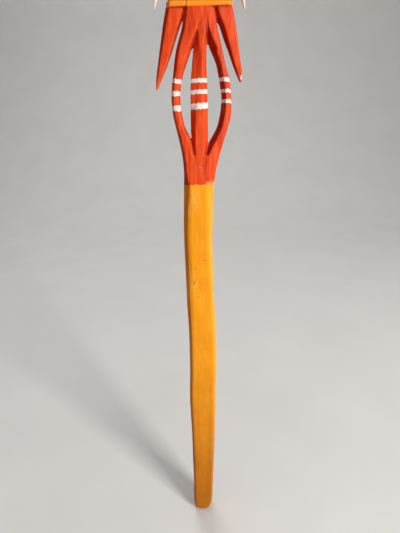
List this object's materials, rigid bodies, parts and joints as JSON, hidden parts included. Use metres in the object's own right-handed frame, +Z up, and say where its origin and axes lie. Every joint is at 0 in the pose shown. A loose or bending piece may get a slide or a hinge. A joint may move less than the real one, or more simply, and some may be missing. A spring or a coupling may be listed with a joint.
{
  "type": "maraca",
  "caption": "Long-handled folk maraca: hollow wooden head with loose seeds, threaded on a carved stick with a three-tine openwork fork and side spikes.",
  "frame": {"origin": "centre of the bounding box in X and Y, which is the axis of the head, at the level of the butt's flat end", "axes": "+Z runs up the stick from the butt to the head, +X runs across the carved face, -Y is the front of the carved face"},
  "size_m": [0.1054, 0.1054, 0.728],
  "materials": {
    "painted_wood": "brushed matt paint on shaved wood",
    "painted_head": "brushed matt paint on turned wood",
    "cotton_cord": "twisted, undyed",
    "leather": "worn",
    "bare_wood": "whittled, oiled",
    "seed": "hard, smooth"
  },
  "bodies": {
    "body": {"stick": "painted_wood", "head_lower_shell": "painted_head", "head_upper_shell": "painted_head", "equator_cord": "cotton_cord", "neck_cord": "cotton_cord", "lower_washer": "leather", "upper_washer": "leather", "cross_pin": "bare_wood"},
    "seed_01": {"seed_01": "seed"},
    "seed_02": {"seed_02": "seed"},
    "seed_03": {"seed_03": "seed"},
    "seed_04": {"seed_04": "seed"},
    "seed_05": {"seed_05": "seed"},
    "seed_06": {"seed_06": "seed"},
    "seed_07": {"seed_07": "seed"},
    "seed_08": {"seed_08": "seed"},
    "seed_09": {"seed_09": "seed"},
    "seed_10": {"seed_10": "seed"},
    "seed_11": {"seed_11": "seed"},
    "seed_12": {"seed_12": "seed"}
  },
  "joints": [
    {"name": "seed_01_hop", "type": "slide", "parent": "body", "child": "seed_01", "axis": [0, 0, 1], "range_m": [0, 0.091]},
    {"name": "seed_02_hop", "type": "slide", "parent": "body", "child": "seed_02", "axis": [0, 0, 1], "range_m": [0, 0.091]},
    {"name": "seed_03_hop", "type": "slide", "parent": "body", "child": "seed_03", "axis": [0, 0, 1], "range_m": [0, 0.091]},
    {"name": "seed_04_hop", "type": "slide", "parent": "body", "child": "seed_04", "axis": [0, 0, 1], "range_m": [0, 0.091]},
    {"name": "seed_05_hop", "type": "slide", "parent": "body", "child": "seed_05", "axis": [0, 0, 1], "range_m": [0, 0.091]},
    {"name": "seed_06_hop", "type": "slide", "parent": "body", "child": "seed_06", "axis": [0, 0, 1], "range_m": [0, 0.0822]},
    {"name": "seed_07_hop", "type": "slide", "parent": "body", "child": "seed_07", "axis": [0, 0, 1], "range_m": [0, 0.0822]},
    {"name": "seed_08_hop", "type": "slide", "parent": "body", "child": "seed_08", "axis": [0, 0, 1], "range_m": [0, 0.0822]},
    {"name": "seed_09_hop", "type": "slide", "parent": "body", "child": "seed_09", "axis": [0, 0, 1], "range_m": [0, 0.0822]},
    {"name": "seed_10_hop", "type": "slide", "parent": "body", "child": "seed_10", "axis": [0, 0, 1], "range_m": [0, 0.0822]},
    {"name": "seed_11_hop", "type": "slide", "parent": "body", "child": "seed_11", "axis": [0, 0, 1], "range_m": [0, 0.0822]},
    {"name": "seed_12_hop", "type": "slide", "parent": "body", "child": "seed_12", "axis": [0, 0, 1], "range_m": [0, 0.0822]}
  ]
}
